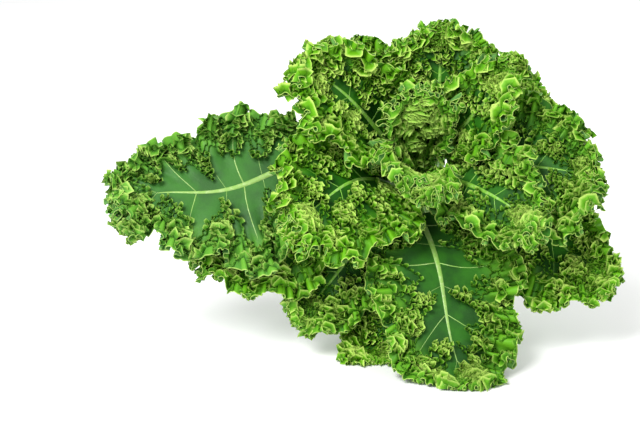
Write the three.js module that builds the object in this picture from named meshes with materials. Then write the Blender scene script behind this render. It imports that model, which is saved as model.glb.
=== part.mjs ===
// A picked bunch of curly kale lying on a flat surface. Sixteen whole leaves are gathered by their
// stalks and fan out from there: each leaf is a pale stalk that runs on as the midrib, and a green
// blade with lobes and a ruffled edge on both sides of it. The cut stalk ends rest on the surface at
// the back, and the leaves spread to the left, the front, the right and the top.
// Millimetres, +X to the right, -Y to the front, +Z up.
import * as THREE from "three";

const { degToRad, lerp, clamp, smoothstep } = THREE.MathUtils;

// The gathered stalks
const GATHER = new THREE.Vector3(16, 62, 128); // where the stalks lie closest together
const TILT = degToRad(44); // how far the bunch's axis rises above the surface, towards the front
const STEM_LENGTH = 158; // from the gather back to the cut ends
const STEM_LENGTH_VARIES = 9;
const STALK_PITCH = 7.1; // sets the distance between neighbouring stalks
const BUNDLE_OPENS = 0.14; // share by which the bundle is wider at the cut ends

// The fan of leaves in front of the gather
const FLARE = 90; // length over which a stalk bends from the axis to its own direction
const INNER_SPLAY = degToRad(24); // angle between the axis and the innermost leaf
const OUTER_SPLAY = degToRad(100); // the same for the outermost leaf
const RECURVE = degToRad(0.1); // further bend for each millimetre past the flare
const DROOP = { front: 0.0033, right: 0.0012, left: 0.0004 }; // sag for each square millimetre out
const DROOP_FROM = 60; // distance out from the gather at which the sag begins
const SOFT_FLOOR = 15; // below this height leaves bend out along the surface
const WARP = 7; // size of the slow unevenness of the whole bunch
const WARP_LENGTH = 240;

// One leaf
const BLADE_THICKNESS = 0.8;
const RIB_GAP = 0.35; // between the midrib and the blade's inner edge
const CUT_RADIUS = 4.3; // half the stalk's width at the cut end
const BASE_RADIUS = 3.7; // the same where the blade begins
const RIB_TIP_RADIUS = 1;
const STALK_FLATNESS = 0.86;
const STALK_SIDES = 6;
const RIB_SHARE = 0.78; // part of the blade's length along which the side veins leave the midrib
const FAN_FROM = 0.72; // after this share of each side the veins fan out from the midrib's end
const VEIN_BASE = degToRad(104); // angle between the midrib and the first side vein
const VEIN_FAN = degToRad(34); // the same where the fan starts
const WIDEST = 0.35; // share of a side at which the blade is widest
const NARROWED = 0.84; // share of a side at which it has narrowed to the end lobe
const BASE_REACH = 0.34; // the first vein's length as a share of the longest
const LOBES = 4; // cut lobes along each side, besides the end lobe
const LOBED_SHARE = 0.86;
const NOTCH = 0.34; // depth of the cuts as a share of the blade's width
const MIN_RING = 32; // least radius that a blade's width is measured round

// The ruffle: whole waves along the edge, which grow from the midrib outwards
const RUFFLES = 26;
const RUFFLE_ROOM = 0.86; // part of the room between two leaves that the ruffle takes
const RUFFLE_POWER = 2.2;
const EDGE_ROWS = [
  { across: 0, columns: RUFFLES },
  { across: 0.42, columns: RUFFLES },
  { across: 0.76, columns: 2 * RUFFLES },
  { across: 1, columns: 4 * RUFFLES },
];

// The leaves from the outermost to the innermost. Azimuth is in degrees about the bunch's axis, seen
// from the leaf tips: 0 is right, 90 up, 180 left and 270 down to the front. Leaves next to each other
// in the list point well apart. start, tip and reach are lengths: from the gather to where the blade
// begins, from the gather to the leaf's tip, and from the midrib to the widest edge. sway is how far the
// midrib has curved aside at its tip, towards the next azimuth.
const LEAVES = [
  { azimuth: 276, start: 52, tip: 214, reach: 66, sway: -84 },
  { azimuth: 52, start: 62, tip: 172, reach: 66, sway: -8 },
  { azimuth: 232, start: 86, tip: 202, reach: 64, sway: -10 },
  { azimuth: 322, start: 58, tip: 214, reach: 80, sway: 8 },
  { azimuth: 210, start: 116, tip: 266, reach: 68, sway: -34 },
  { azimuth: 254, start: 68, tip: 232, reach: 84, sway: 112 },
  { azimuth: 189, start: 128, tip: 328, reach: 86, sway: 8 },
  { azimuth: 128, start: 64, tip: 176, reach: 78, sway: 14 },
  { azimuth: 343, start: 62, tip: 206, reach: 84, sway: 10 },
  { azimuth: 224, start: 54, tip: 206, reach: 80, sway: -46 },
  { azimuth: 88, start: 60, tip: 166, reach: 76, sway: -8 },
  { azimuth: 318, start: 60, tip: 188, reach: 70, sway: 8 },
  { azimuth: 158, start: 54, tip: 212, reach: 76, sway: 12 },
  { azimuth: 36, start: 68, tip: 176, reach: 60, sway: -10 },
  { azimuth: 252, start: 54, tip: 166, reach: 60, sway: 6 },
  { azimuth: 114, start: 26, tip: 138, reach: 78, sway: -10 },
];
const LEVEL_STEP = 1 / (LEAVES.length - 1);

const BLADE_GREEN = new THREE.Color(0.1, 0.3, 0.05);
const STALK_GREEN = new THREE.Color(0.5, 0.62, 0.28);

// The bunch's own axes: from the cut ends to the leaf tips, to the right, and up across the axis.
const AXIS = new THREE.Vector3(0, -Math.cos(TILT), Math.sin(TILT));
const RIGHT = new THREE.Vector3(1, 0, 0);
const RISE = new THREE.Vector3(0, Math.sin(TILT), Math.cos(TILT));

// Radius of the ring in the gathered bundle on which a stalk of this level lies. Equal areas for equal
// steps of level pack the stalks evenly.
function ringRadius(level) {
  return STALK_PITCH * Math.sqrt(Math.max(0, level / LEVEL_STEP) + 0.5);
}

// Distance between the innermost and the outermost level at a length along the leaves.
function fanDepth(length) {
  const flared = clamp(length, 0, FLARE);
  const lever = (flared * flared) / (2 * FLARE) + Math.max(0, length - FLARE);
  return ringRadius(1) - ringRadius(0) + (OUTER_SPLAY - INNER_SPLAY) * lever;
}

// Place on the nested bells that the leaves lie on, as distance along the axis and out from it. A
// profile runs straight to the gather, bends outwards on one arc along the flare, and goes on bending
// gently on a second arc. Outer levels bend further, so the profiles never cross.
function bell(length, azimuth, level) {
  const ring = ringRadius(level);
  if (length <= 0) {
    const back = length / STEM_LENGTH;
    return { along: length, out: ring * (1 + BUNDLE_OPENS * back * back) };
  }
  const splay = lerp(INNER_SPLAY, OUTER_SPLAY, level);
  const flared = Math.min(length, FLARE);
  const bend = splay / FLARE;
  const turned = bend * flared;
  const recurve = RECURVE * (1.08 + Math.sin(azimuth));
  const last = turned + recurve * (length - flared);
  return {
    along: Math.sin(turned) / bend + (Math.sin(last) - Math.sin(turned)) / recurve,
    out: ring + (1 - Math.cos(turned)) / bend + (Math.cos(turned) - Math.cos(last)) / recurve,
  };
}

// Slow unevenness of the whole bunch, from three waves with no common direction.
function warp(p) {
  const wave = (a, b, shift) => Math.sin((2 * Math.PI * (a * 1.13 + b * 0.87)) / WARP_LENGTH + shift);
  return new THREE.Vector3(wave(p.y, p.z, 1.1), wave(p.z, p.x, 2.9), wave(p.x, p.y, 4.2));
}

// Height after the surface has held a point up: it nears zero and never crosses it.
function heldUp(height) {
  return height > SOFT_FLOOR ? height : SOFT_FLOOR * Math.exp(height / SOFT_FLOOR - 1);
}

// A point of the bunch in space, from its length along the leaves, its azimuth and its level.
function place(length, azimuth, level) {
  const { along, out } = bell(length, azimuth, level);
  const p = GATHER.clone()
    .addScaledVector(AXIS, along)
    .addScaledVector(RIGHT, out * Math.cos(azimuth))
    .addScaledVector(RISE, out * Math.sin(azimuth));
  p.addScaledVector(warp(p), WARP);
  p.z -= DROOP.front * Math.max(0, GATHER.y - p.y - DROOP_FROM) ** 2;
  p.z -= DROOP.right * Math.max(0, p.x - GATHER.x - DROOP_FROM) ** 2;
  p.z -= DROOP.left * Math.max(0, GATHER.x - p.x - DROOP_FROM) ** 2;
  p.z += (heldUp(p.z) - p.z) * smoothstep(length, 20, 80);
  return p;
}

// Radius that the blade's width is measured round. It stays large where the ring is small, so that the
// inner leaves are narrow at their base and never meet themselves behind the axis.
function wrapRadius(leaf, length) {
  return Math.hypot(bell(length, leaf.azimuth, leaf.level).out, MIN_RING);
}

// A point of one leaf: length along the midrib, distance to the right of it, and lift from the leaf's
// own bell towards the axis, in millimetres.
function leafPoint(leaf, length, aside, lift = 0) {
  const level = leaf.level - lift / fanDepth(length);
  const curved = leaf.sway * (Math.max(0, length) / leaf.tip) ** 2;
  return place(length, leaf.azimuth + (aside + curved) / wrapRadius(leaf, length), level);
}

// The leaf's own directions at a point of its midrib: forward, to the side, and up from its face.
function ribFrame(leaf, length) {
  const forward = leafPoint(leaf, length + 1, 0).sub(leafPoint(leaf, length - 1, 0)).normalize();
  const side = leafPoint(leaf, length, 1).sub(leafPoint(leaf, length, -1));
  side.addScaledVector(forward, -side.dot(forward)).normalize();
  return { forward, side, up: new THREE.Vector3().crossVectors(forward, side) };
}

function ribEnd(leaf) {
  return lerp(leaf.start, leaf.tip, RIB_SHARE);
}

function stalkRadius(leaf, length) {
  if (length < leaf.start) {
    return lerp(CUT_RADIUS, BASE_RADIUS, smoothstep(length, -STEM_LENGTH, leaf.start));
  }
  return lerp(BASE_RADIUS, RIB_TIP_RADIUS, (length - leaf.start) / (ribEnd(leaf) - leaf.start));
}

// Where the side vein of a column starts on the midrib, its angle from the midrib's direction, and its
// length. Column 0 is at the base on the left, 0.5 at the tip and 1 at the base on the right.
function vein(leaf, column) {
  const even = 1 - Math.abs(2 * column - 1);
  const shift = 0.012 * Math.sin(2 * Math.PI * (2.5 * even + leaf.seed));
  const share = clamp(even + shift * Math.sin(Math.PI * even), 0, 1);
  const fan = Math.max(0, (share - FAN_FROM) / (1 - FAN_FROM));
  const onRib = Math.min(1, share / FAN_FROM);
  const envelope =
    share < WIDEST
      ? lerp(BASE_REACH * leaf.reach, leaf.reach, smoothstep(share, 0, WIDEST))
      : lerp(leaf.reach, leaf.tip - ribEnd(leaf), smoothstep(share, WIDEST, NARROWED));
  const lobe = Math.abs(Math.sin((Math.PI * LOBES * share) / LOBED_SHARE)) ** 0.6;
  const notch = share < LOBED_SHARE ? NOTCH * (1 - 0.5 * share) * (1 - lobe) : 0;
  return {
    side: column < 0.5 ? -1 : 1,
    foot: lerp(leaf.start, ribEnd(leaf), onRib),
    angle: fan > 0 ? lerp(VEIN_FAN, 0, fan) : lerp(VEIN_BASE, VEIN_FAN, onRib),
    turn: (Math.PI / 2) * (1 - fan),
    length: envelope * (1 - notch),
  };
}

// Lift of the ruffle: crests and troughs at even steps along the edge, growing from the midrib out, and
// never more than the room that the leaf has between its neighbours.
function ruffle(leaf, column, across, length) {
  const wave = Math.cos(2 * Math.PI * RUFFLES * column);
  const swell = 0.78 + 0.22 * Math.sin(2 * Math.PI * (3 * column + leaf.seed));
  const room = RUFFLE_ROOM * LEVEL_STEP * fanDepth(length);
  return wave * swell * room * across ** RUFFLE_POWER;
}

// A point of the blade's middle surface. The innermost row follows the midrib at a small gap.
function bladePoint(leaf, column, across) {
  const v = vein(leaf, column);
  const gap = stalkRadius(leaf, v.foot) + RIB_GAP;
  if (across === 0) {
    const { forward, side } = ribFrame(leaf, v.foot);
    return leafPoint(leaf, v.foot, 0)
      .addScaledVector(side, v.side * gap * Math.sin(v.turn))
      .addScaledVector(forward, gap * Math.cos(v.turn));
  }
  const clear = (gap * wrapRadius(leaf, v.foot)) / bell(v.foot, leaf.azimuth, leaf.level).out;
  const length = v.foot + gap * Math.cos(v.turn) + across * v.length * Math.cos(v.angle);
  const aside = v.side * (clear * Math.sin(v.turn) + across * v.length * Math.sin(v.angle));
  return leafPoint(leaf, length, aside, ruffle(leaf, column, across, length));
}

// Triangles between two rows of points that run over the same columns, whatever their numbers.
function stitch(first, firstCount, second, secondCount) {
  const faces = [];
  let [i, j] = [0, 0];
  while (i < firstCount || j < secondCount) {
    const stepFirst = j === secondCount || (i < firstCount && (i + 1) * secondCount <= (j + 1) * firstCount);
    faces.push(first + i, second + j, stepFirst ? first + i + 1 : second + j + 1);
    if (stepFirst) i += 1;
    else j += 1;
  }
  return faces;
}

function indexed(points, faces) {
  const geometry = new THREE.BufferGeometry().setFromPoints(points);
  geometry.setIndex(faces);
  return geometry;
}

// The blade as one closed sheet: the middle surface moved half a thickness to each side, with the same
// triangles on both faces, and a rim round it.
function bladeGeometry(leaf) {
  const middle = [];
  const starts = [];
  for (const { across, columns } of EDGE_ROWS) {
    starts.push(middle.length);
    for (let i = 0; i <= columns; i += 1) middle.push(bladePoint(leaf, i / columns, across));
  }
  const sheet = [];
  for (let row = 1; row < EDGE_ROWS.length; row += 1) {
    const [inner, outer] = [EDGE_ROWS[row - 1], EDGE_ROWS[row]];
    sheet.push(...stitch(starts[row - 1], inner.columns, starts[row], outer.columns));
  }
  const smooth = indexed(middle, sheet);
  smooth.computeVertexNormals();
  const normals = smooth.getAttribute("normal");
  const offset = (share) =>
    middle.map((p, i) =>
      p.clone().addScaledVector(new THREE.Vector3().fromBufferAttribute(normals, i), share * BLADE_THICKNESS),
    );
  const count = middle.length;
  const last = EDGE_ROWS.length - 1;
  const row = (k) => Array.from({ length: EDGE_ROWS[k].columns + 1 }, (_, i) => starts[k] + i);
  const ends = (k) => starts[k] + EDGE_ROWS[k].columns;
  const rim = [
    ...row(0),
    ...EDGE_ROWS.slice(1, last).map((_, k) => ends(k + 1)),
    ...row(last).reverse(),
    ...EDGE_ROWS.slice(1, last).map((_, k) => starts[last - 1 - k]),
  ];
  const faces = [...sheet];
  for (let i = 0; i < sheet.length; i += 3) {
    faces.push(sheet[i] + count, sheet[i + 2] + count, sheet[i + 1] + count);
  }
  rim.forEach((a, i) => {
    const b = rim[(i + 1) % rim.length];
    faces.push(a, b, b + count, a, b + count, a + count);
  });
  return indexed([...offset(0.5), ...offset(-0.5)], faces);
}

// The stalk and midrib as one tapered rod with a flat cut at its thick end.
function stalkGeometry(leaf) {
  const cut = -STEM_LENGTH - STEM_LENGTH_VARIES * Math.sin(7 * leaf.seed);
  const feet = [];
  for (let i = 0; i / RUFFLES <= FAN_FROM / 2; i += 1) feet.push(vein(leaf, i / RUFFLES).foot);
  const free = [0.45, 0.85].map((share) => cut * (1 - share));
  const flare = [0.3, 0.65].map((share) => share * leaf.start);
  const stations = [cut, ...free, ...flare, ...feet, ribEnd(leaf)];
  const points = [];
  for (const length of stations) {
    const { side, up } = ribFrame(leaf, length);
    const radius = stalkRadius(leaf, length);
    for (let k = 0; k < STALK_SIDES; k += 1) {
      const turn = (2 * Math.PI * k) / STALK_SIDES;
      points.push(
        leafPoint(leaf, length, 0)
          .addScaledVector(side, radius * Math.cos(turn))
          .addScaledVector(up, radius * STALK_FLATNESS * Math.sin(turn)),
      );
    }
  }
  const faces = [];
  const end = points.length - STALK_SIDES;
  for (let start = 0; start < end; start += STALK_SIDES) {
    for (let k = 0; k < STALK_SIDES; k += 1) {
      const [a, b] = [start + k, start + ((k + 1) % STALK_SIDES)];
      faces.push(a, b + STALK_SIDES, b, a, a + STALK_SIDES, b + STALK_SIDES);
    }
  }
  for (let k = 1; k < STALK_SIDES - 1; k += 1) {
    faces.push(0, k, k + 1, end, end + k + 1, end + k);
  }
  return indexed(points, faces);
}

// Turns every face round if they point inwards.
function facingOut(geometry) {
  const [position, index] = [geometry.getAttribute("position"), geometry.getIndex()];
  const corner = (i) => new THREE.Vector3().fromBufferAttribute(position, index.getX(i));
  let volume = 0;
  for (let i = 0; i < index.count; i += 3) {
    volume += corner(i).dot(corner(i + 1).cross(corner(i + 2)));
  }
  if (volume < 0) {
    for (let i = 0; i < index.count; i += 3) {
      const swapped = index.getX(i);
      index.setX(i, index.getX(i + 1));
      index.setX(i + 1, swapped);
    }
  }
  geometry.computeVertexNormals();
  return geometry;
}

const bladeMaterial = new THREE.MeshStandardMaterial({ color: BLADE_GREEN, roughness: 0.5, metalness: 0 });
const stalkMaterial = new THREE.MeshStandardMaterial({ color: STALK_GREEN, roughness: 0.45, metalness: 0 });

const bunch = new THREE.Group();
LEAVES.forEach((sizes, i) => {
  const leaf = {
    ...sizes,
    azimuth: degToRad(sizes.azimuth),
    level: 1 - i * LEVEL_STEP,
    seed: (i * 0.618) % 1,
  };
  const number = String(i + 1).padStart(2, "0");
  const blade = new THREE.Mesh(facingOut(bladeGeometry(leaf)), bladeMaterial);
  blade.name = `leaf_${number}_blade`;
  const stalk = new THREE.Mesh(facingOut(stalkGeometry(leaf)), stalkMaterial);
  stalk.name = `leaf_${number}_stalk`;
  bunch.add(blade, stalk);
});

// The origin is the middle of the bunch's footprint, on the surface that it lies on.
const box = new THREE.Box3().setFromObject(bunch);
bunch.position.set(-(box.min.x + box.max.x) / 2, -(box.min.y + box.max.y) / 2, -box.min.z);

export default bunch;
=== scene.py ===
# A picked bunch of curly kale: pale stalks that run on as midribs and side veins, and smooth dark blades
# with a ruffled, curled and fringed edge. Ribbons of frill stand on each blade's upper face and meander
# over it. The shape functions work in millimetres in the part's own frame, and a mesh is turned to metres
# when it is made.
from typing import NamedTuple

import bpy
import numpy as np
from bpy.props import FloatProperty, FloatVectorProperty, PointerProperty
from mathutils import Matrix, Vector


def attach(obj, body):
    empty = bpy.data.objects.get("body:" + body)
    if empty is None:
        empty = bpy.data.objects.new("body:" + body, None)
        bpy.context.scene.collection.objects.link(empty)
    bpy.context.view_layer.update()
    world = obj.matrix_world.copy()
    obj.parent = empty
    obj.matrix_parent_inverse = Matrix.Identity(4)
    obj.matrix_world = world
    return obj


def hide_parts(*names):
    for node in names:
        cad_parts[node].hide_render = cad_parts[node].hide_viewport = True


bl_info = {
    "name": "Kale Bunch",
    "version": (1, 0, 0),
    "blender": (4, 5, 0),
    "location": "View3D > Sidebar > Kale",
    "description": "Makes the leaves, the stalks and the stage of a bunch of curly kale",
    "category": "Object",
}

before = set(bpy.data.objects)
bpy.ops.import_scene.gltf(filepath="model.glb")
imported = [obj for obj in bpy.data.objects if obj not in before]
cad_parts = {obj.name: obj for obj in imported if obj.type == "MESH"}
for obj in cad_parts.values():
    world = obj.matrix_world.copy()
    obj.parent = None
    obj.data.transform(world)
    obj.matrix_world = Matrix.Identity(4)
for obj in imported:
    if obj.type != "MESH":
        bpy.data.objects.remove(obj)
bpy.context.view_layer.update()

MM = 0.001
TURN = 2 * np.pi

# The gathered stalks, as the part has them
GATHER = np.array([16.0, 62.0, 128.0])
FOOTPRINT_SHIFT = np.array([45.8578, -14.3949, 0.9424])
TILT = np.radians(44)
STEM_LENGTH = 158
STEM_LENGTH_VARIES = 9
STEM_SEEDS = 7
STALK_PITCH = 7.1
BUNDLE_OPENS = 0.14

# The fan of leaves in front of the gather, as the part has it
FLARE = 90
INNER_SPLAY = np.radians(24)
OUTER_SPLAY = np.radians(100)
RECURVE = np.radians(0.1)
RECURVE_ASIDE = 1.08
DROOP_FRONT, DROOP_RIGHT, DROOP_LEFT = 0.0033, 0.0012, 0.0004
DROOP_FROM = 60
SOFT_FLOOR = 15
SOFT_FROM, SOFT_FULL = 20, 80
WARP = 7
WARP_LENGTH = 240
WARP_SLANT = (1.13, 0.87)
WARP_SHIFTS = (1.1, 2.9, 4.2)

# One leaf, as the part has it
CUT_RADIUS = 4.3
BASE_RADIUS = 3.7
RIB_TIP_RADIUS = 1
RIB_SHARE = 0.78
RIB_GAP, RIB_GAP_GROWS, RIB_GAP_FULL = 0.5, 0.6, 0.12
FAN_FROM = 0.72
VEIN_BASE = np.radians(104)
VEIN_FAN = np.radians(34)
VEIN_SHIFT, VEIN_SHIFTS = 0.012, 2.5
WIDEST = 0.35
NARROWED = 0.84
BASE_REACH = 0.34
LOBES = 4
LOBED_SHARE = 0.86
LOBE_POWER = 0.6
NOTCH = 0.34
NOTCH_FADES = 0.5
MIN_RING = 32
RUFFLES = 26
RUFFLE_ROOM = 0.86
RUFFLE_POWER = 2.2

# Azimuth in degrees, start, tip, reach and sway of each leaf, from the outermost to the innermost
LEAF_SIZES = [
    (276, 52, 214, 66, -84),
    (52, 62, 172, 66, -8),
    (232, 86, 202, 64, -10),
    (322, 58, 214, 80, 8),
    (210, 116, 266, 68, -34),
    (254, 68, 232, 84, 112),
    (189, 128, 328, 86, 8),
    (128, 64, 176, 78, 14),
    (343, 62, 206, 84, 10),
    (224, 54, 206, 80, -46),
    (88, 60, 166, 76, -8),
    (318, 60, 188, 70, 8),
    (158, 54, 212, 76, 12),
    (36, 68, 176, 60, -10),
    (252, 54, 166, 60, 6),
    (114, 26, 138, 78, -10),
]
LEVEL_STEP = 1 / (len(LEAF_SIZES) - 1)
SEED_STEP = 0.618

# Directions of the gather: along it, to the right, and upwards at right angles to both
AXIS = np.array([0.0, -np.cos(TILT), np.sin(TILT)])
RIGHT = np.array([1.0, 0.0, 0.0])
RISE = np.array([0.0, np.sin(TILT), np.cos(TILT)])

# Columns of the blade's grid, from the base on its left round the tip to the base on its right
COLUMNS = 1024

# Rows of the blade's grid, from the midrib to the edge: the share across, and the step between kept columns
ROWS = [
    (0.0, 16),
    (0.12, 16),
    (0.24, 8),
    (0.36, 8),
    (0.47, 4),
    (0.57, 4),
    (0.66, 2),
    (0.74, 2),
    (0.81, 2),
    (0.87, 2),
    (0.92, 1),
    (0.965, 1),
    (1.0, 1),
]
ROW_SHARES = np.array([share for share, _ in ROWS])
ROW_STEPS = [step for _, step in ROWS]

# Slow waves that make something uneven, each a size, a number of waves and a shift in seeds
RUFFLE_UNEVEN = [(0.16, 5, 1), (0.1, 11, 3)]
RUFFLE_LEVEL, RUFFLE_SWELL = 0.78, [(0.22, 3, 1)]
CURL_WANDER = [(0.5, 7, 5), (0.4, 17, 1)]
RIBBON_WANDER = [(0.4, 3, 1), (0.25, 7, 3)]
FINGER_SWELL = [(0.4, 9, 2), (0.3, 14, 5)]


class EdgeWave(NamedTuple):
    """Two mixed waves along a blade's edge: how many of each, how much each wanders, the second one's shift
    in seeds, the first one's slant, the shares across the blade and along the edge over which they grow,
    and how far they swing along the edge for their height."""

    count: int
    other_count: int
    wander: float
    other_wander: float
    other_shift: float
    slant: float
    begins: float
    base: float
    along: float


CURLS = EdgeWave(71, 53, 1.0, -0.7, 2, 0.35, 0.4, 0.03, 0.34)
FRINGE = EdgeWave(127, 101, 1.4, -1.3, 7, 0.4, 0.6, 0.02, 0.3)
WAVE_MIX = (0.68, 0.42)
JAG, JAG_SHIFT = 0.6, 1.1

# Below the first height a blade flattens out, and nothing of it comes below the second
CURL_FLOOR = 4
LEAST_HEIGHT = 0.4

# How much the ruffle, the curls and the fringe count in how raised a point is; raised points get painted
# light and low points painted shade
PAINTED_LIGHT_BY = (0.5, 0.5, 0.3)

# Shares across a blade: over which the curls come to count in the painted light, and from which the edge's
# painted highlight grows
PAINTED_LIGHT_CURLS = (0.3, 0.95)
EDGE_HIGHLIGHT_FROM = 0.95

# The frill's feet: ribbons that meander over a blade, side by side, from an inner bound to the edge
RIBBONS = 5
RIBBON_SEEDS, RIBBON_TURNS = 0.37, 0.41
RIBBON_ENDS = 0.012
MEANDER_PITCH = 13
MEANDER_SPREAD = 0.3
MEANDER_SWING = 0.62
MEANDER_LOOP = 0.13
FRILL_OUTER = 0.98
FRILL_STEP = 1.0
FRILL_MOST = 1300

# The frill's folds: lengths of the waves, and how far they go for the frill's height
FOLD, RIPPLE = 6.8, 3.9
LOOSE = [(0.9, 61, 4), (0.7, 37, 0)]
RIPPLE_LOOSE = 1.7
SIDEWAYS = (0.46, 0.12)
FORWARDS = (0.24, 0.05)
DIP, DIP_SHIFT = 0.12, 0.8
LEAN, LEAN_STEP = 0.2, 0.06
ROOT = 0.3
FRILL_ENDS = 0.01
FRILL_ROOM = 0.85

# Clumps of higher folds with a brighter painted highlight and painted light on their crests and painted shade
# between them, and the taller folds that fill the heart
CLUMP_WIDTH, CLUMP_HEIGHT = 43, 37
CLUMP_SLANT = 0.6
CLUMP_SHIFT = 5
CLUMP_SHARP = 1.7
CLUMP_LEVEL, CLUMP_GAIN = 0.68, 0.36
HEART_TALLER = 1.0
HEART_INNER = (0.35, 0.75)
HEART_ROOM = 30
# Painted highlight on the frill's crests, more on clumps and less in the heart
CREST_HIGHLIGHT, CREST_HIGHLIGHT_CLUMP, CREST_HIGHLIGHT_HEART = 0.88, 0.12, 0.14
# Painted light on the frill's crests, more on clumps, and painted shade at its feet
CREST_PAINTED_LIGHT, CREST_PAINTED_LIGHT_CLUMP = 0.85, 0.65
ROOT_PAINTED_SHADE = -0.5
FRILL_ACROSS = 0.8

# What the frill leaves smooth, some by leaf: a share next to the midrib, and a finger along each lobe
SMOOTH_SHARES = {6: 0.08, 7: 0.14}
SMOOTH_SHARE = 0.03
SMOOTH_FINGERS = {6: 0.46, 7: 0.42, 16: 0.05}
SMOOTH_FINGER = 0.17
SMOOTH_MOST = 0.8

# Haze and pale ribs, with values of their own for leaf 6 in front and leaf 7 on the left; the ribs of the
# other leaves are greener and darker, as painted shade
HAZES = {6: 0.3, 7: 0.9}
HAZE, HAZE_SEEDS = 0.35, 7.3
RIB_PALENESS = {6: 1.0, 7: 1.0}
SHADED_RIB_PALENESS = 0.35

# Stalks and midribs: rings at the cut end, their rounding and the tip's, and how a rib is flattened
STALK_STATIONS = 80
STALK_SIDES = 18
CUT_RINGS = (0.0, 0.25, 0.8)
CUT_FULL = 1.2
CUT_ROUNDING = (0.86, 0.95, 0.99)
TIP_ROUNDING = (0.8, 0.4)
RIB_OVERRUN = 3
RIB_FROM, RIB_FULL = 20, 25
STALK_FLATNESS = 0.84
RIB_ABOVE, RIB_BELOW = 0.3, 0.2

# Side veins: every so-many-th column can carry one. Sizes are shares, and thicknesses follow the midrib's.
VEIN_STEP = 16
VEIN_ROWS = 9
VEIN_SIDES = 6
MAIN_VEINS = [3, 10, 17, 24, 40, 47, 54, 61]
LESSER_VEINS = [7, 13, 21, 28, 32, 36, 43, 51, 57]
MAIN_SIZE, LESSER_SIZE = 1.0, 0.5
VEIN_LEAST, VEIN_GROWS, VEIN_TAPER = 0.45, 0.17, 0.9
VEIN_ABOVE, VEIN_BELOW, VEIN_ROOT = 0.42, 0.9, 0.2

# Finishes: repeats of each pattern in a metre, and how much of each colour and shine there is at most
PATCHES, GRAIN, NET = 34.0, 420.0, 260.0
STREAKS, STALK_PATCHES, FLOOR_PATCHES = 260.0, 45.0, 3.0
EDGE_HIGHLIGHT_SHARE, UNDER_SHARE, HAZE_SHARE = 0.95, 0.5, 0.3
THROUGH_SHARE, THROUGH_TINT = 0.22, 0.4
BLADE_SPECULAR, STALK_SPECULAR = 0.18, 0.4
FLOOR_SHADE = (0.7, 0.7, 0.7, 1.0)

# The stage, in metres and watts: a light's name, place, aim, width and power
LIGHTS = [
    ("key", (-1.1, -1.5, 1.9), (0.0, 0.0, 0.12), 1.3, 84.0),
    ("fill", (1.7, -1.2, 1.0), (0.0, 0.0, 0.15), 1.4, 12.0),
    ("back", (0.5, 1.5, 1.7), (0.0, 0.0, 0.15), 1.2, 26.0),
]
WORLD_COLOR = (1.0, 1.0, 1.0, 1.0)
WORLD_STRENGTH = 0.52
FLOOR_REACH = 6.0

# The camera stands where the photograph was taken from, in metres
CAMERA_ELEVATION = np.radians(16.6)
CAMERA_DISTANCE = 1.8
CAMERA_LENS = 101.25
CAMERA_AIM = (-0.0415, 0.0319, 0.1068)


class Leaf(NamedTuple):
    number: int
    azimuth: float
    level: float
    seed: float
    start: float
    tip: float
    reach: float
    sway: float


LEAVES = [
    Leaf(i + 1, np.radians(azimuth), 1 - i * LEVEL_STEP, (i * SEED_STEP) % 1, start, tip, reach, sway)
    for i, (azimuth, start, tip, reach, sway) in enumerate(LEAF_SIZES)
]
HEART = LEAVES[-1]


def smoothstep(x, low, high):
    """3 s^2 - 2 s^3, where s goes from 0 at low to 1 at high."""
    s = np.clip((x - low) / (high - low), 0, 1)
    return s * s * (3 - 2 * s)


def waves(parts, share, seed, level=0):
    """The level plus sines, each a size, a number of waves along the share and a shift in seeds."""
    sines = [size * np.sin(TURN * (count * share + shift * seed)) for size, count, shift in parts]
    return sum(sines, level)


def unit(vectors):
    """Each vector divided by its length."""
    return vectors / np.maximum(np.linalg.norm(vectors, axis=-1, keepdims=True), 1e-9)


def ring_radius(level):
    """Radius of a stalk's ring in the bundle: the pitch times the root of the level's rank plus a half."""
    return STALK_PITCH * np.sqrt(np.maximum(0, level / LEVEL_STEP) + 0.5)


def fan_depth(length):
    """Distance between the innermost and outermost level: the bundle's depth, plus the difference of their
    angles times a lever that grows with the square of the length along the flare and evenly after it."""
    flared = np.clip(length, 0, FLARE)
    lever = flared**2 / (2 * FLARE) + np.maximum(0, length - FLARE)
    return ring_radius(1.0) - ring_radius(0.0) + (OUTER_SPLAY - INNER_SPLAY) * lever


def bell(length, azimuth, level):
    """Distances along and out from the axis: straight to the gather, then one arc along the flare that
    ends at the level's splay, then a second, gentler arc that is strongest for leaves that point up."""
    ahead = np.maximum(length, 0)
    behind = np.minimum(length, 0)
    flared = np.minimum(ahead, FLARE)
    bend = (INNER_SPLAY + (OUTER_SPLAY - INNER_SPLAY) * level) / FLARE
    turned = bend * flared
    recurve = RECURVE * (RECURVE_ASIDE + np.sin(azimuth))
    last = turned + recurve * (ahead - flared)
    ring = ring_radius(level) * (1 + BUNDLE_OPENS * (behind / STEM_LENGTH) ** 2)
    along = behind + np.sin(turned) / bend + (np.sin(last) - np.sin(turned)) / recurve
    out = ring + (1 - np.cos(turned)) / bend + (np.cos(turned) - np.cos(last)) / recurve
    return along, out


def warp(points):
    """Three slow sines, each of a slanted sum of two of the coordinates."""
    x, y, z = np.moveaxis(points, -1, 0)
    first, second = WARP_SLANT
    slanted = [a * first + b * second for a, b in [(y, z), (z, x), (x, y)]]
    sines = [np.sin(TURN * value / WARP_LENGTH + shift) for value, shift in zip(slanted, WARP_SHIFTS)]
    return np.stack(sines, axis=-1)


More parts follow.
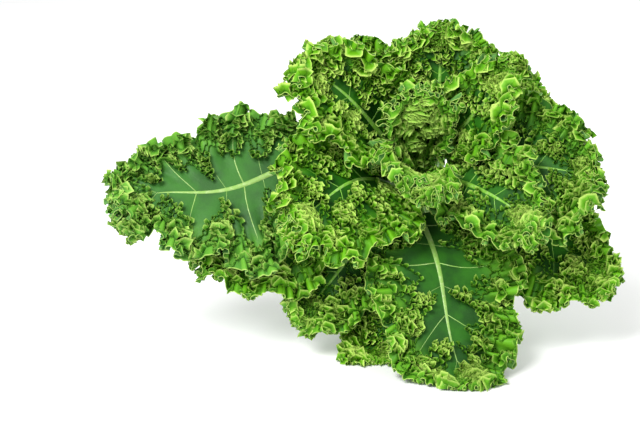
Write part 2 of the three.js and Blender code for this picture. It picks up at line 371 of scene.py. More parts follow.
def place(length, azimuth, level):
    """The gather, plus the bell's distances along the axis and out from it in the azimuth's direction, then
    the slow warp, a sag that grows with the square of the distance out, and a soft floor: below its
    height a point's height falls off exponentially and never reaches zero."""
    along, out = bell(length, azimuth, level)
    points = (
        GATHER
        + along[..., None] * AXIS
        + (out * np.cos(azimuth))[..., None] * RIGHT
        + (out * np.sin(azimuth))[..., None] * RISE
    )
    points = points + WARP * warp(points)
    x, y, z = np.moveaxis(points, -1, 0)
    z = z - DROOP_FRONT * np.maximum(0, GATHER[1] - y - DROOP_FROM) ** 2
    z = z - DROOP_RIGHT * np.maximum(0, x - GATHER[0] - DROOP_FROM) ** 2
    z = z - DROOP_LEFT * np.maximum(0, GATHER[0] - x - DROOP_FROM) ** 2
    held_up = np.where(z > SOFT_FLOOR, z, SOFT_FLOOR * np.exp(np.minimum(z, SOFT_FLOOR) / SOFT_FLOOR - 1))
    z = z + (held_up - z) * smoothstep(length, SOFT_FROM, SOFT_FULL)
    return np.stack([x, y, z], axis=-1) + FOOTPRINT_SHIFT


def wrap_radius(leaf, length):
    """Root of the ring's radius squared plus a least radius squared."""
    azimuth = np.full_like(length, leaf.azimuth)
    return np.hypot(bell(length, azimuth, leaf.level)[1], MIN_RING)


def leaf_point(leaf, length, aside, lift):
    """The leaf's level less the lift's share of the fan's depth, at the leaf's azimuth plus the distance
    aside and the sway, which grows with the square of the length, over the wrapping radius."""
    length = np.asarray(length, float)
    level = leaf.level - lift / fan_depth(length)
    curved = leaf.sway * (np.maximum(0, length) / leaf.tip) ** 2
    return place(length, leaf.azimuth + (aside + curved) / wrap_radius(leaf, length), level)


def rib_frame(leaf, length):
    """Forward, sideways and upward unit vectors at the midrib, from points one millimetre apart."""
    forward = unit(leaf_point(leaf, length + 1, 0, 0) - leaf_point(leaf, length - 1, 0, 0))
    side = leaf_point(leaf, length, 1, 0) - leaf_point(leaf, length, -1, 0)
    side = unit(side - (side * forward).sum(-1, keepdims=True) * forward)
    return forward, side, np.cross(forward, side)


def rib_end(leaf):
    """Length at which the midrib ends."""
    return leaf.start + RIB_SHARE * (leaf.tip - leaf.start)


def stalk_radius(leaf, length):
    """Smooth from the cut end to the blade's base, then even down to the midrib's end."""
    bare = CUT_RADIUS + (BASE_RADIUS - CUT_RADIUS) * smoothstep(length, -STEM_LENGTH, leaf.start)
    share = np.clip((length - leaf.start) / (rib_end(leaf) - leaf.start), 0, 1)
    return np.where(length < leaf.start, bare, BASE_RADIUS + (RIB_TIP_RADIUS - BASE_RADIUS) * share)


def vein(leaf, column):
    """Side, foot on the midrib, angle, turn of the gap and length of the side vein of each column. Feet run
    up the midrib and then stay at its end, where the angle goes on to zero at the tip. The length swells to
    the widest share, narrows to the end lobe, and is cut back between the lobes by a rounded comb."""
    even = 1 - np.abs(2 * column - 1)
    shift = VEIN_SHIFT * np.sin(TURN * (VEIN_SHIFTS * even + leaf.seed))
    share = np.clip(even + shift * np.sin(np.pi * even), 0, 1)
    fan = np.maximum(0, (share - FAN_FROM) / (1 - FAN_FROM))
    on_rib = np.minimum(1, share / FAN_FROM)
    base = BASE_REACH * leaf.reach
    swelling = base + (leaf.reach - base) * smoothstep(share, 0, WIDEST)
    end = leaf.tip - rib_end(leaf)
    narrowing = leaf.reach + (end - leaf.reach) * smoothstep(share, WIDEST, NARROWED)
    envelope = np.where(share < WIDEST, swelling, narrowing)
    lobe = np.abs(np.sin(np.pi * LOBES * share / LOBED_SHARE)) ** LOBE_POWER
    notch = np.where(share < LOBED_SHARE, NOTCH * (1 - NOTCH_FADES * share) * (1 - lobe), 0)
    side = np.where(column < 0.5, -1.0, 1.0)
    foot = leaf.start + (rib_end(leaf) - leaf.start) * on_rib
    angle = np.where(fan > 0, VEIN_FAN * (1 - fan), VEIN_BASE + (VEIN_FAN - VEIN_BASE) * on_rib)
    return side, foot, angle, np.pi / 2 * (1 - fan), envelope * (1 - notch)


def vein_length(leaf, column, across):
    """Length along the midrib that a point of the blade is level with."""
    _, foot, angle, _, reach = vein(leaf, column)
    return foot + across * reach * np.cos(angle)


def sheet_frame(points):
    """Unit vectors along the columns and across the rows, and their normal on the leaf's upper face."""
    along = np.gradient(points, axis=1)
    across = np.gradient(points, axis=0)
    return unit(along), unit(across), unit(np.cross(across, along))


def edge_wave(leaf, points, column, across, wave, height):
    """Each point moved along the normal by the height times a mix of two waves, and along the edge by the
    sine of twice the first phase, which makes crests and troughs bulge over their own feet. The height
    grows across the blade and away from its base. Returns the points, the mix, the growth and the phase."""
    wander = waves(CURL_WANDER, column, leaf.seed)
    phase = TURN * (wave.count * column + wave.wander * wander + wave.slant * across)
    other = TURN * (wave.other_count * column + wave.other_wander * wander + wave.other_shift * leaf.seed)
    mixed = WAVE_MIX[0] * np.cos(phase) + WAVE_MIX[1] * np.cos(other)
    growth = smoothstep(across, wave.begins, 1.0) * smoothstep(np.minimum(column, 1 - column), 0, wave.base)
    along, _, normal = sheet_frame(points)
    moved = points + (height * growth * mixed)[..., None] * normal
    return moved + (wave.along * height * growth * np.sin(2 * phase))[..., None] * along, mixed, growth, phase


def blade_points(leaf, settings):
    """The blade's middle surface on the full grid and how raised each point is. A vein's point is its foot
    plus a share of its length at its angle. The ruffle lifts it by a cosine along the edge that grows with
    a power of the distance from the midrib. Curls and then a fringe are added in the frame of the surface
    before, and the fringe also jags the outline."""
    column, across = np.meshgrid(np.linspace(0, 1, COLUMNS + 1), ROW_SHARES)
    side, foot, angle, turn, reach = vein(leaf, column)
    gap = stalk_radius(leaf, foot) * (RIB_GAP + RIB_GAP_GROWS * smoothstep(across, 0, RIB_GAP_FULL))
    azimuth = np.full_like(foot, leaf.azimuth)
    clear = gap * wrap_radius(leaf, foot) / bell(foot, azimuth, leaf.level)[1]
    length = foot + gap * np.cos(turn) + across * reach * np.cos(angle)
    aside = side * (clear * np.sin(turn) + across * reach * np.sin(angle))

    ruffle = np.cos(TURN * (RUFFLES * column + waves(RUFFLE_UNEVEN, column, leaf.seed)))
    swell = waves(RUFFLE_SWELL, column, leaf.seed, RUFFLE_LEVEL)
    room = RUFFLE_ROOM * LEVEL_STEP * fan_depth(length)
    points = leaf_point(leaf, length, aside, ruffle * swell * room * across**RUFFLE_POWER)

    curl_height, fringe_height = settings.curl_height / MM, settings.fringe_height / MM
    points, curled, _, _ = edge_wave(leaf, points, column, across, CURLS, curl_height)
    points, fringed, growth, phase = edge_wave(leaf, points, column, across, FRINGE, fringe_height)
    _, outward, _ = sheet_frame(points)
    points = points + (fringe_height * JAG * growth**2 * np.cos(phase + JAG_SHIFT))[..., None] * outward
    # Raised sets the painted light: crests of the ruffle and curls are painted lighter, and troughs darker as
    # painted shade
    by_ruffle, by_curl, by_fringe = PAINTED_LIGHT_BY
    raised = across**RUFFLE_POWER * ruffle * by_ruffle + curled * smoothstep(across, *PAINTED_LIGHT_CURLS) * by_curl
    return above_floor(points), raised + by_fringe * fringed * growth


def above_floor(points):
    """The points, with heights below a few millimetres falling off exponentially instead of reaching the
    floor."""
    height = points[..., 2]
    low = CURL_FLOOR * np.exp(np.minimum(height, CURL_FLOOR) / CURL_FLOOR - 1) + LEAST_HEIGHT
    held = np.where(height > CURL_FLOOR, height + LEAST_HEIGHT, low)
    return np.concatenate([points[..., :2], held[..., None]], axis=-1)


def strip(inner, outer):
    """Triangles between two rows of vertex numbers: two for each column where both rows have as many, and
    three where the outer row has twice as many."""
    a, b = inner[:-1], inner[1:]
    if len(outer) == len(inner):
        c, d = outer[:-1], outer[1:]
        return np.concatenate([np.stack([a, c, d], 1), np.stack([a, d, b], 1)])
    c, m, d = outer[:-2:2], outer[1::2], outer[2::2]
    return np.concatenate([np.stack([a, c, m], 1), np.stack([a, m, b], 1), np.stack([b, m, d], 1)])


def wall(row, other):
    """Two triangles for each step between two rows of vertex numbers: all the first ones, then the rest."""
    first = np.stack([row[:-1], other[:-1], other[1:]], 1)
    second = np.stack([row[:-1], other[1:], row[1:]], 1)
    return first, second


def new_mesh(name, points, triangles, attributes, sharp=None):
    """A smooth-shaded mesh object at the origin from points in millimetres and rows of three vertex
    numbers, with one value of each attribute for each vertex, and sharp edges between the vertices of
    which sharp is true."""
    mesh = bpy.data.meshes.new(name)
    mesh.vertices.add(len(points))
    mesh.vertices.foreach_set("co", (points * MM).astype(np.float32).ravel())
    mesh.loops.add(3 * len(triangles))
    mesh.loops.foreach_set("vertex_index", triangles.astype(np.int32).ravel())
    mesh.polygons.add(len(triangles))
    mesh.polygons.foreach_set("loop_start", np.arange(0, 3 * len(triangles), 3, dtype=np.int32))
    mesh.update(calc_edges=True)
    mesh.polygons.foreach_set("use_smooth", np.ones(len(triangles), bool))
    for attribute, values in attributes.items():
        layer = mesh.attributes.new(attribute, "FLOAT", "POINT")
        layer.data.foreach_set("value", np.asarray(values, np.float32))
    if sharp is not None:
        ends = np.empty(2 * len(mesh.edges), np.int32)
        mesh.edges.foreach_get("vertices", ends)
        layer = mesh.attributes.new("sharp_edge", "BOOLEAN", "EDGE")
        layer.data.foreach_set("value", sharp[ends.reshape(-1, 2)].all(axis=1))
    if mesh.validate():
        raise RuntimeError(f"the mesh of {name} needed mending")
    piece = bpy.data.objects.new(name, mesh)
    bpy.context.scene.collection.objects.link(piece)
    return piece


def closed_sheet(points, normal, thickness, *values):
    """A grid's middle surface moved half a thickness to each side, with a rim round it. Each row keeps the
    columns that its step gives. Returns the points, the triangles, each value at the points, which of them
    are underneath, and which lie on the rim."""
    kept = [np.arange(0, points.shape[1], step) for step in ROW_STEPS]
    starts = np.cumsum([0] + [len(columns) for columns in kept])
    numbers = [start + np.arange(len(columns)) for start, columns in zip(starts, kept)]
    count = starts[-1]

    def keep(grid):
        return np.concatenate([grid[row, columns] for row, columns in enumerate(kept)])

    upper = np.concatenate([strip(inner, outer) for inner, outer in zip(numbers[:-1], numbers[1:])])
    lower = upper[:, [0, 2, 1]] + count
    rights = [row[-1:] for row in numbers[1:-1]]
    lefts = [row[:1] for row in numbers[-2:0:-1]]
    rim = np.concatenate([numbers[0], *rights, numbers[-1][::-1], *lefts])
    ahead = np.roll(rim, -1)
    side = np.stack([rim, ahead, ahead + count], 1), np.stack([rim, ahead + count, rim + count], 1)
    offset = thickness / 2 * keep(normal)
    middle = keep(points)
    sharp = np.zeros(2 * count, bool)
    sharp[rim] = True
    sharp[rim + count] = True
    sheet = np.concatenate([middle + offset, middle - offset])
    twice = [np.tile(keep(value), 2) for value in values]
    return sheet, np.concatenate([upper, lower, *side]), twice, np.repeat([0.0, 1.0], count), sharp


def blade_mesh(leaf, settings):
    """The blade's closed sheet, and the ribbons of frill on top of it. The edge attribute, a painted
    highlight, grows from zero to one over the last few millimetres before the edge, and up the frill."""
    points, raised = blade_points(leaf, settings)
    _, _, normal = sheet_frame(points)
    across = np.repeat(ROW_SHARES[:, None], COLUMNS + 1, axis=1)
    thickness = settings.sheet_thickness / MM
    blade, blade_faces, (height, out), under, sharp = closed_sheet(points, normal, thickness, raised, across)
    # Raised carries painted light and painted shade; the underside takes it with its sign turned
    height = np.where(under > 0, -height, height)

    ribbons = [frill_ribbon(leaf, ribbon, points, normal, settings) for ribbon in range(RIBBONS)]
    offsets = len(blade) + np.cumsum([0] + [len(ribbon[0]) for ribbon in ribbons])
    frill, _, frill_raised, crest_highlight = (np.concatenate(parts) for parts in zip(*ribbons))
    frill_faces = np.concatenate([ribbon[1] + offset for ribbon, offset in zip(ribbons, offsets)])
    haze = HAZES.get(leaf.number, HAZE * ((leaf.seed * HAZE_SEEDS) % 1))
    attributes = {
        "across": np.concatenate([out, np.full(len(frill), FRILL_ACROSS)]),
        "edge": np.concatenate([np.clip((out - EDGE_HIGHLIGHT_FROM) / (1 - EDGE_HIGHLIGHT_FROM), 0, 1), crest_highlight]),
        "raised": np.concatenate([height, frill_raised]),
        "underside": np.concatenate([under, np.zeros(len(frill))]),
        "haze": np.full(offsets[-1], haze),
    }
    return new_mesh(
        f"blade_{leaf.number:02d}",
        np.concatenate([blade, frill]),
        np.concatenate([blade_faces, frill_faces]),
        attributes,
        np.concatenate([sharp, crest_highlight > 0.5]),
    )


def on_grid(grid, column, across):
    """Values of a grid between its columns and rows, by straight lines between the four nearest."""
    place_in = np.clip(column, 0, 1) * COLUMNS
    left = np.clip(place_in.astype(int), 0, COLUMNS - 1)
    low = np.clip(np.searchsorted(ROW_SHARES, across, side="right") - 1, 0, len(ROWS) - 2)
    u = (place_in - left)[:, None]
    v = ((across - ROW_SHARES[low]) / (ROW_SHARES[low + 1] - ROW_SHARES[low]))[:, None]
    lower = (1 - u) * grid[low, left] + u * grid[low, left + 1]
    upper = (1 - u) * grid[low + 1, left] + u * grid[low + 1, left + 1]
    return (1 - v) * lower + v * upper


def frill_path(leaf, ribbon, share, turns):
    """Column and distance from the midrib along a ribbon: the column is the share along the ribbon less a
    sine of twice the winding, and the distance swings by a sine of the winding round the ribbon's own
    share of the way from an inner bound to the edge. The bound is far out along the middle of each lobe
    and near the midrib between lobes."""
    wander = waves(RIBBON_WANDER, share, leaf.seed + RIBBON_SEEDS * ribbon)
    winding = TURN * (turns * share + wander + RIBBON_TURNS * ribbon)
    loop = MEANDER_LOOP / turns * np.sin(2 * winding) * np.sin(np.pi * share)
    column = RIBBON_ENDS + (1 - 2 * RIBBON_ENDS) * share - loop
    lobe = np.abs(np.sin(np.pi * LOBES * (1 - np.abs(2 * column - 1)) / LOBED_SHARE))
    swell = waves(FINGER_SWELL, share, leaf.seed, 1)
    finger = SMOOTH_FINGERS.get(leaf.number, SMOOTH_FINGER) * lobe * swell
    inner = np.minimum(SMOOTH_SHARES.get(leaf.number, SMOOTH_SHARE) + finger, SMOOTH_MOST)
    way = np.clip((ribbon + 0.5 + MEANDER_SWING * np.sin(winding)) / RIBBONS, 0, 1)
    return column, inner + (FRILL_OUTER - inner) * way


def even_steps(leaf, ribbon, points):
    """Share along a ribbon, and length walked along its foot, at even steps of that length. A longer blade
    has more windings."""
    spread = leaf.reach * (MEANDER_SPREAD + (1 - MEANDER_SPREAD) * (ribbon + 0.5) / RIBBONS)
    turns = round(2 * (leaf.tip - leaf.start + spread) / MEANDER_PITCH)
    share = np.linspace(0, 1, 2 * FRILL_MOST)
    foot = on_grid(points, *frill_path(leaf, ribbon, share, turns))
    walked = np.concatenate([[0], np.cumsum(np.linalg.norm(np.diff(foot, axis=0), axis=1))])
    count = min(FRILL_MOST, int(walked[-1] / FRILL_STEP))
    even = np.linspace(0, walked[-1], count + 1)
    return np.interp(even, walked, share), even, turns


def clumps(leaf, foot):
    """Product of a sine across and a sine up the bunch, made steeper and cut off at one."""
    across = np.sin(TURN * (foot[:, 0] + CLUMP_SLANT * foot[:, 1]) / CLUMP_WIDTH + CLUMP_SHIFT * leaf.seed)
    return np.clip(CLUMP_SHARP * (across * np.sin(TURN * foot[:, 2] / CLUMP_HEIGHT)), -1, 1)


def frill_ribbon(leaf, ribbon, points, normal, settings):
    """A closed thin wedge with even steps along its foot, which meanders over the blade. It stands along
    the normal, leans towards the midrib, and its top swings to both sides in two sizes of wave; the sine
    of twice each wave makes the folds bulge. Clumps make it higher and lower, and the inner part of the
    heart's frill is taller."""
    share, walked, turns = even_steps(leaf, ribbon, points)
    column, across = frill_path(leaf, ribbon, share, turns)
    foot = on_grid(points, column, across)
    up = unit(on_grid(normal, column, across))
    ahead = unit(np.gradient(foot, axis=0))
    aside = unit(np.cross(up, ahead))
    ribward = unit(on_grid(points, column, np.clip(across - LEAN_STEP, 0, 1)) - foot)

    room = LEVEL_STEP * fan_depth(vein_length(leaf, column, across)) + HEART_ROOM * (leaf is HEART)
    clump = clumps(leaf, foot)
    usual = settings.frill_height / MM * (CLUMP_LEVEL + CLUMP_GAIN * clump)
    taller = HEART_TALLER * (1 - smoothstep(across, *HEART_INNER)) * (leaf is HEART)
    ends = smoothstep(np.minimum(share, 1 - share), 0, FRILL_ENDS)
    height = np.minimum(usual * (1 + taller), FRILL_ROOM * room) * ends
    swing = np.minimum(height, usual)
    loose = sum(size * np.sin(TURN * walked / length + shift * leaf.seed) for size, length, shift in LOOSE)
    fold = TURN * walked / FOLD + loose
    ripple = TURN * walked / RIPPLE - RIPPLE_LOOSE * loose
    sideways = swing * (SIDEWAYS[0] * np.cos(fold) + SIDEWAYS[1] * np.cos(ripple))
    forwards = swing * (FORWARDS[0] * np.sin(2 * fold) + FORWARDS[1] * np.sin(2 * ripple))
    upwards = height - DIP * swing * (1 - np.cos(ripple + DIP_SHIFT))
    top = foot + upwards[:, None] * up + sideways[:, None] * aside + forwards[:, None] * ahead
    top = np.maximum(top + LEAN * height[:, None] * ribward, [-np.inf, -np.inf, LEAST_HEIGHT])

    facing = unit(np.cross(top - foot, np.gradient(top + foot, axis=0)))
    offset = settings.sheet_thickness / MM / 2 * facing
    low = foot - ROOT * up
    left = np.arange(len(foot))
    right, crest = left + len(foot), left + 2 * len(foot)
    firsts, seconds = zip(*[wall(*rows) for rows in [(left, crest), (crest, right), (right, left)]])
    caps = np.array([[left[0], right[0], crest[0]], [left[-1], crest[-1], right[-1]]])
    feet = np.ones(2 * len(foot))
    # Painted highlight on the crests, more on clumps and less in the inner part of the heart
    pale = CREST_HIGHLIGHT + CREST_HIGHLIGHT_CLUMP * clump - CREST_HIGHLIGHT_HEART * taller
    # Painted light on the crests, more on clumps, and painted shade at the feet
    raised = np.concatenate([ROOT_PAINTED_SHADE * feet, CREST_PAINTED_LIGHT + CREST_PAINTED_LIGHT_CLUMP * clump])
    ribbon_points = np.concatenate([low + offset, low - offset, top])
    return ribbon_points, np.concatenate([*firsts, *seconds, caps]), raised, np.concatenate([0 * feet, pale])


def rod(path, side, up, half_width, above, below, sides):
    """A closed rod carried along a path: each ring is a flat half-ellipse above the path and another below
    it, and the first and last ring are closed by a fan of triangles to their middle."""
    turn = np.arange(sides) * TURN / sides
    high = np.where(np.sin(turn) > 0, above[:, None], below[:, None]) * np.sin(turn)
    wide = half_width[:, None] * np.cos(turn)
    rings = path[:, None] + wide[..., None] * side[:, None] + high[..., None] * up[:, None]
    number = np.arange(len(path) * sides).reshape(len(path), sides)
    a, b = number[:-1], np.roll(number, -1, axis=1)[:-1]
    c, d = number[1:], np.roll(number, -1, axis=1)[1:]
    walls = np.concatenate([np.stack([a, d, b], -1), np.stack([a, c, d], -1)]).reshape(-1, 3)
    first, last = len(path) * sides, len(path) * sides + 1
    start, end = number[0], number[-1]
    start_cap = np.stack([np.full(sides, first), start, np.roll(start, -1)], 1)
    end_cap = np.stack([np.full(sides, last), np.roll(end, -1), end], 1)
    points = np.concatenate([rings.reshape(-1, 3), path[:1], path[-1:]])
    return points, np.concatenate([walls, start_cap, end_cap])


def stalk_rod(leaf, cut):
    """The stalk and midrib as one tapered rod, flatter above than below in the blade, and the share of its
    length at each of its points."""
    even = np.linspace(0, 1, STALK_STATIONS)
    rest = rib_end(leaf) + RIB_OVERRUN - cut - CUT_FULL
    length = np.concatenate([cut + np.array(CUT_RINGS), cut + CUT_FULL + rest * even])
    radius = stalk_radius(leaf, length)
    radius[: len(CUT_ROUNDING)] *= CUT_ROUNDING
    radius[-len(TIP_ROUNDING) :] *= TIP_ROUNDING
    _, side, up = rib_frame(leaf, length)
    in_blade = smoothstep(length, leaf.start - RIB_FROM, leaf.start + RIB_FULL)
    above = radius * (STALK_FLATNESS - RIB_ABOVE * in_blade)
    below = radius * (STALK_FLATNESS + RIB_BELOW * in_blade)
    shares = np.repeat((length - cut) / (leaf.tip - cut), STALK_SIDES)
    return rod(leaf_point(leaf, length, 0, 0), side, up, radius, above, below, STALK_SIDES), shares


def vein_rods(leaf, settings):
    """A thin rod for each side vein, which follows the blade's own middle surface. Its thickness grows with
    the midrib's and tapers towards the edge by a power of what is left of the way."""
    points, _ = blade_points(leaf, settings)
    along, _, normal = sheet_frame(points)
    across = ROW_SHARES[:VEIN_ROWS]
    main = [(number, MAIN_SIZE) for number in MAIN_VEINS]
    lesser = [(number, LESSER_SIZE) for number in LESSER_VEINS]
    for number, size in main + lesser:
        here = slice(0, VEIN_ROWS), number * VEIN_STEP
        _, foot, _, _, _ = vein(leaf, np.array([number * VEIN_STEP / COLUMNS]))
        thick = size * (VEIN_LEAST + VEIN_GROWS * stalk_radius(leaf, foot)) * (1 - across) ** VEIN_TAPER
        above, below = VEIN_ABOVE * thick + VEIN_ROOT, VEIN_BELOW * thick + VEIN_ROOT
        yield rod(points[here], along[here], normal[here], thick, above, below, VEIN_SIDES)


def stalk_mesh(leaf, settings):
    """The stalk and midrib, and the side veins. Along is the share of the length from the cut end: less
    than zero at the middle of the cut, and one on the side veins."""
    cut = -STEM_LENGTH - STEM_LENGTH_VARIES * np.sin(STEM_SEEDS * leaf.seed)
    stalk, shares = stalk_rod(leaf, cut)
    parts = [stalk, *vein_rods(leaf, settings)]
    offsets = np.cumsum([0] + [len(points) for points, _ in parts])
    along = np.ones(offsets[-1])
    along[: len(shares)] = shares
    along[len(shares)] = -1
    return new_mesh(
        f"stalk_{leaf.number:02d}",
        np.concatenate([points for points, _ in parts]),
        np.concatenate([triangles + offset for (_, triangles), offset in zip(parts, offsets)]),
        # Pale sets how pale the rib is; the lower value on leaves other than 6 and 7 is painted shade
        {"along": along, "pale": np.full(offsets[-1], RIB_PALENESS.get(leaf.number, SHADED_RIB_PALENESS))},
    )


class Nodes:
    """Builds a material's node tree. Add makes a node and fills its inputs: a socket is linked, and a value
    is set. An input is called by its name, or by i and its number."""

    def __init__(self, name):
        self.material = bpy.data.materials.new(name)
        self.material.use_nodes = True
        self.tree = self.material.node_tree
        self.tree.nodes.clear()

    def add(self, kind, settings=None, **inputs):
        node = self.tree.nodes.new(kind)
        for name, value in (settings or {}).items():
            setattr(node, name, value)
        for name, value in inputs.items():
            key = int(name[1:]) if name[1:].isdigit() else name.replace("_", " ")
            if isinstance(value, bpy.types.NodeSocket):
                self.tree.links.new(value, node.inputs[key])
            else:
                node.inputs[key].default_value = value
        return node

    def position(self):
        return self.add("ShaderNodeTexCoord").outputs["Object"]

    def attribute(self, name):
        return self.add("ShaderNodeAttribute", {"attribute_name": name}).outputs["Fac"]

    def add_up(self, first, second):
        return self.add("ShaderNodeMath", {"operation": "ADD"}, i0=first, i1=second).outputs[0]

    def times(self, value, factor):
        return self.add("ShaderNodeMath", {"operation": "MULTIPLY"}, i0=value, i1=factor).outputs[0]

    def span(self, value, low, high, to_low=0.0, to_high=1.0):
        node = self.add("ShaderNodeMapRange", {"interpolation_type": "SMOOTHSTEP"}, Value=value)
        for name, number in [("From Min", low), ("From Max", high), ("To Min", to_low), ("To Max", to_high)]:
            node.inputs[name].default_value = number
        return node.outputs["Result"]

    def mix(self, share, first, second):
        node = self.add("ShaderNodeMix", {"data_type": "RGBA"}, i0=share, i6=first, i7=second)
        return node.outputs[2]

    def noise(self, vector, scale):
        node = self.add("ShaderNodeTexNoise", Vector=vector, Scale=scale, Detail=3.0, Roughness=0.55)
        return node.outputs["Fac"]

    def cells(self, vector, scale):
        node = self.add("ShaderNodeTexVoronoi", {"feature": "DISTANCE_TO_EDGE"}, Vector=vector, Scale=scale)
        return node.outputs["Distance"]

    def bump(self, height, strength, distance):
        node = self.add("ShaderNodeBump", Height=height, Strength=strength, Distance=distance)
        return node.outputs["Normal"]

    def finish(self, surface):
        self.add("ShaderNodeOutputMaterial", Surface=surface)
        return self.material


def color(value):
    """A colour property as four numbers."""
    return (*value, 1.0)


def blade_material(settings):
    """Deep green near the midrib; painted light that turns raised points and frill crests a fresher green,
    and painted shade that keeps troughs and the frill's feet darker;
    a painted yellow-green highlight on the edge and the frill crests; a fine net of veins, a paler underside,
    a waxy shine, and some light through the sheet."""
    made = Nodes("kale blade")
    where = made.position()
    across, raised = made.attribute("across"), made.attribute("raised")
    under, haze = made.attribute("underside"), made.attribute("haze")
    patches, grain, net = made.noise(where, PATCHES), made.noise(where, GRAIN), made.cells(where, NET)
    smooth, pale = color(settings.blade_color), color(settings.underside_color)

    inner = made.mix(made.span(patches, low=0.35, high=0.65), color(settings.deep_color), smooth)
    # Painted light and painted shade: raised points and crests lean to the lit curl green, troughs and frill
    # feet to the darker smooth green; random patches add to it
    painted_light_and_patches = made.add_up(raised, made.times(patches, 0.5))
    curls = made.mix(made.span(painted_light_and_patches, low=-0.5, high=0.9), smooth, color(settings.lit_curl_color))
    body = made.mix(made.span(across, low=0.38, high=0.78), inner, curls)
    # Painted highlight: the blade's edge and the frill crests lean to the yellow-green edge colour
    edge = made.span(made.attribute("edge"), low=0.6, high=1.0)
    body = made.mix(made.times(edge, EDGE_HIGHLIGHT_SHARE), body, color(settings.edge_highlight_color))
    body = made.mix(made.times(under, UNDER_SHARE), body, pale)
    body = made.mix(made.times(haze, HAZE_SHARE), body, pale)

    relief = made.add_up(made.times(net, 0.6), made.times(grain, 0.5))
    bump = made.bump(relief, strength=0.35, distance=0.0006)
    roughness = made.span(grain, low=0.3, high=0.7, to_low=0.44, to_high=0.58)
    surface = made.add("ShaderNodeBsdfPrincipled", Base_Color=body, Roughness=roughness, Normal=bump)
    surface.inputs["Specular IOR Level"].default_value = BLADE_SPECULAR
    tint = made.mix(THROUGH_TINT, body, color(settings.light_color))
    through = made.add("ShaderNodeBsdfTranslucent", Color=tint, Normal=bump)
    both = made.add("ShaderNodeMixShader", i0=THROUGH_SHARE, i1=surface.outputs[0], i2=through.outputs[0])
    return made.finish(both.outputs[0])


def stalk_material(settings):
    """Pale green, whiter towards the cut end, with fine lengthwise streaks and a moist cream cut."""
    made = Nodes("kale stalk")
    where = made.position()
    along = made.attribute("along")
    streaks, patches = made.noise(where, STREAKS), made.noise(where, STALK_PATCHES)
    green, cream = color(settings.lit_curl_color), color(settings.cut_color)
    # Ribs lean to green where they are less pale, as painted shade on the leaves other than 6 and 7
    rib = made.mix(made.attribute("pale"), green, color(settings.rib_color))
    body = made.mix(made.span(along, low=0.0, high=0.6), color(settings.stem_color), rib)
    body = made.mix(made.span(patches, low=0.4, high=0.75, to_high=0.35), body, green)
    body = made.mix(made.span(streaks, low=0.45, high=0.7, to_high=0.2), body, cream)
    body = made.mix(made.span(along, low=-0.02, high=0.004, to_low=1.0, to_high=0.0), body, cream)
    bump = made.bump(streaks, strength=0.25, distance=0.0005)
    roughness = made.span(patches, low=0.3, high=0.7, to_low=0.36, to_high=0.5)
    surface = made.add("ShaderNodeBsdfPrincipled", Base_Color=body, Roughness=roughness, Normal=bump)
    surface.inputs["Specular IOR Level"].default_value = STALK_SPECULAR
    return made.finish(surface.outputs[0])


def floor_material(settings):
    """Matt pale floor with a very faint unevenness."""
    made = Nodes("studio floor")
    faint = made.span(made.noise(made.position(), FLOOR_PATCHES), low=0.3, high=0.7, to_high=0.03)
    shade = made.mix(faint, color(settings.floor_color), FLOOR_SHADE)
    return made.finish(made.add("ShaderNodeBsdfPrincipled", Base_Color=shade, Roughness=0.9).outputs[0])


def area_light(name, stands, aim, size, power):
    """A square light of a given width that faces a point."""
    data = bpy.data.lights.new(name, "AREA")
    data.size = size
    data.energy = power
    lamp = bpy.data.objects.new(name, data)
    lamp.location = stands
    lamp.rotation_euler = (Vector(aim) - Vector(stands)).to_track_quat("-Z", "Y").to_euler()
    bpy.context.scene.collection.objects.link(lamp)


def length_property(name, description, default):
    """A length in metres."""
    units = {"subtype": "DISTANCE", "unit": "LENGTH"}
    return FloatProperty(name=name, description=description, default=default, min=0.0, **units)


def color_property(name, description, default):
    """A colour as red, green and blue from zero to one."""
    form = {"min": 0.0, "max": 1.0, "size": 3, "subtype": "COLOR"}
    return FloatVectorProperty(name=name, description=description, default=default, **form)


class KaleBunchSettings(bpy.types.PropertyGroup):
    """Sizes and colours of the bunch"""

    sheet_thickness: length_property("Sheet thickness", "Thickness of a blade", 0.0006)
    curl_height: length_property("Curl height", "Height of the curls on the ruffled edge", 0.0037)
    frill_height: length_property("Frill height", "Height of the ribbons on a blade's face", 0.0094)
    fringe_height: length_property("Fringe height", "Height of the finest curls", 0.0014)
    deep_color: color_property("Deep green", "A blade along its midrib", (0.008, 0.064, 0.004))
    blade_color: color_property("Blade green", "Smooth part of a blade", (0.024, 0.155, 0.004))
    # Curl green is the lit tone of raised curls, laid on as painted light
    lit_curl_color: color_property("Lit curl green", "Raised curls", (0.15, 0.45, 0.008))
    # Edge green is a painted highlight on the blade's edge and the frill crests
    edge_highlight_color: color_property("Edge highlight green", "The very edge of a blade", (0.61, 0.83, 0.17))
    underside_color: color_property("Underside", "Lower face of a blade", (0.14, 0.33, 0.11))
    light_color: color_property("Light through", "Light that comes through a blade", (0.2, 0.5, 0.03))
    rib_color: color_property("Rib", "Midribs and side veins", (0.25, 0.43, 0.1))
    stem_color: color_property("Stem", "Stalks towards the cut end", (0.5, 0.62, 0.3))
    cut_color: color_property("Cut", "Cut ends of the stalks", (0.72, 0.76, 0.5))
    floor_color: color_property("Floor", "Studio floor", (0.93, 0.93, 0.93))


class OBJECT_OT_kale_blades(bpy.types.Operator):
    """Make the green, curled blade of every leaf"""

    bl_idname = "object.kale_blades"
    bl_label = "Kale Blades"

    def execute(self, context):
        settings = context.scene.kale_bunch
        material = blade_material(settings)
        for leaf in LEAVES:
            piece = blade_mesh(leaf, settings)
            piece.data.materials.append(material)
            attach(piece, "root")
            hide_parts(f"leaf_{leaf.number:02d}_blade")
        return {"FINISHED"}


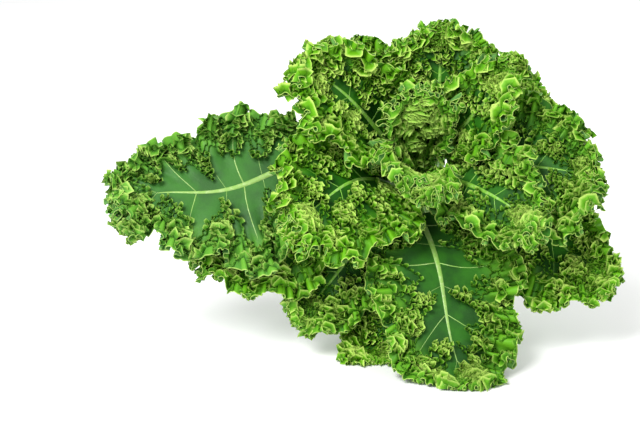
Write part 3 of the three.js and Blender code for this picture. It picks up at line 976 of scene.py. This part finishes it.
class OBJECT_OT_kale_stalks(bpy.types.Operator):
    """Make the pale stalk, midrib and side veins of every leaf"""

    bl_idname = "object.kale_stalks"
    bl_label = "Kale Stalks"

    def execute(self, context):
        settings = context.scene.kale_bunch
        material = stalk_material(settings)
        for leaf in LEAVES:
            piece = stalk_mesh(leaf, settings)
            piece.data.materials.append(material)
            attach(piece, "root")
            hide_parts(f"leaf_{leaf.number:02d}_stalk")
        return {"FINISHED"}


class OBJECT_OT_kale_stage(bpy.types.Operator):
    """Make the pale floor, the soft studio lights and the camera"""

    bl_idname = "object.kale_stage"
    bl_label = "Kale Stage"

    def execute(self, context):
        scene = context.scene
        corners = [(x * FLOOR_REACH, y * FLOOR_REACH, 0) for x, y in [(-1, -1), (1, -1), (1, 1), (-1, 1)]]
        mesh = bpy.data.meshes.new("floor")
        mesh.from_pydata(corners, [], [(0, 1, 2, 3)])
        mesh.materials.append(floor_material(scene.kale_bunch))
        floor = bpy.data.objects.new("floor", mesh)
        scene.collection.objects.link(floor)

        for light in LIGHTS:
            area_light(*light)
        world = bpy.data.worlds.new("studio")
        world.use_nodes = True
        background = world.node_tree.nodes["Background"]
        background.inputs["Color"].default_value = WORLD_COLOR
        background.inputs["Strength"].default_value = WORLD_STRENGTH
        scene.world = world
        scene.view_settings.view_transform = "Standard"

        back = Vector((0.0, -np.cos(CAMERA_ELEVATION), np.sin(CAMERA_ELEVATION)))
        data = bpy.data.cameras.new("camera")
        data.lens = CAMERA_LENS
        camera = bpy.data.objects.new("camera", data)
        camera.location = Vector(CAMERA_AIM) + CAMERA_DISTANCE * back
        camera.rotation_euler = (-back).to_track_quat("-Z", "Y").to_euler()
        scene.collection.objects.link(camera)
        scene.camera = camera
        return {"FINISHED"}


class VIEW3D_PT_kale_bunch(bpy.types.Panel):
    """Lists the bunch's sizes, colours and pieces"""

    bl_label = "Kale Bunch"
    bl_space_type = "VIEW_3D"
    bl_region_type = "UI"
    bl_category = "Kale"

    def draw(self, context):
        for name in KaleBunchSettings.__annotations__:
            self.layout.prop(context.scene.kale_bunch, name)
        for operator in OPERATORS:
            self.layout.operator(operator.bl_idname)


OPERATORS = [OBJECT_OT_kale_stage, OBJECT_OT_kale_blades, OBJECT_OT_kale_stalks]
CLASSES = [KaleBunchSettings, *OPERATORS, VIEW3D_PT_kale_bunch]


def register():
    for cls in CLASSES:
        bpy.utils.register_class(cls)
    bpy.types.Scene.kale_bunch = PointerProperty(type=KaleBunchSettings)


def unregister():
    del bpy.types.Scene.kale_bunch
    for cls in reversed(CLASSES):
        bpy.utils.unregister_class(cls)


def main():
    register()
    bpy.ops.object.kale_stage()
    bpy.ops.object.kale_blades()
    bpy.ops.object.kale_stalks()
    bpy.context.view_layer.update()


if __name__ == "__main__":
    main()
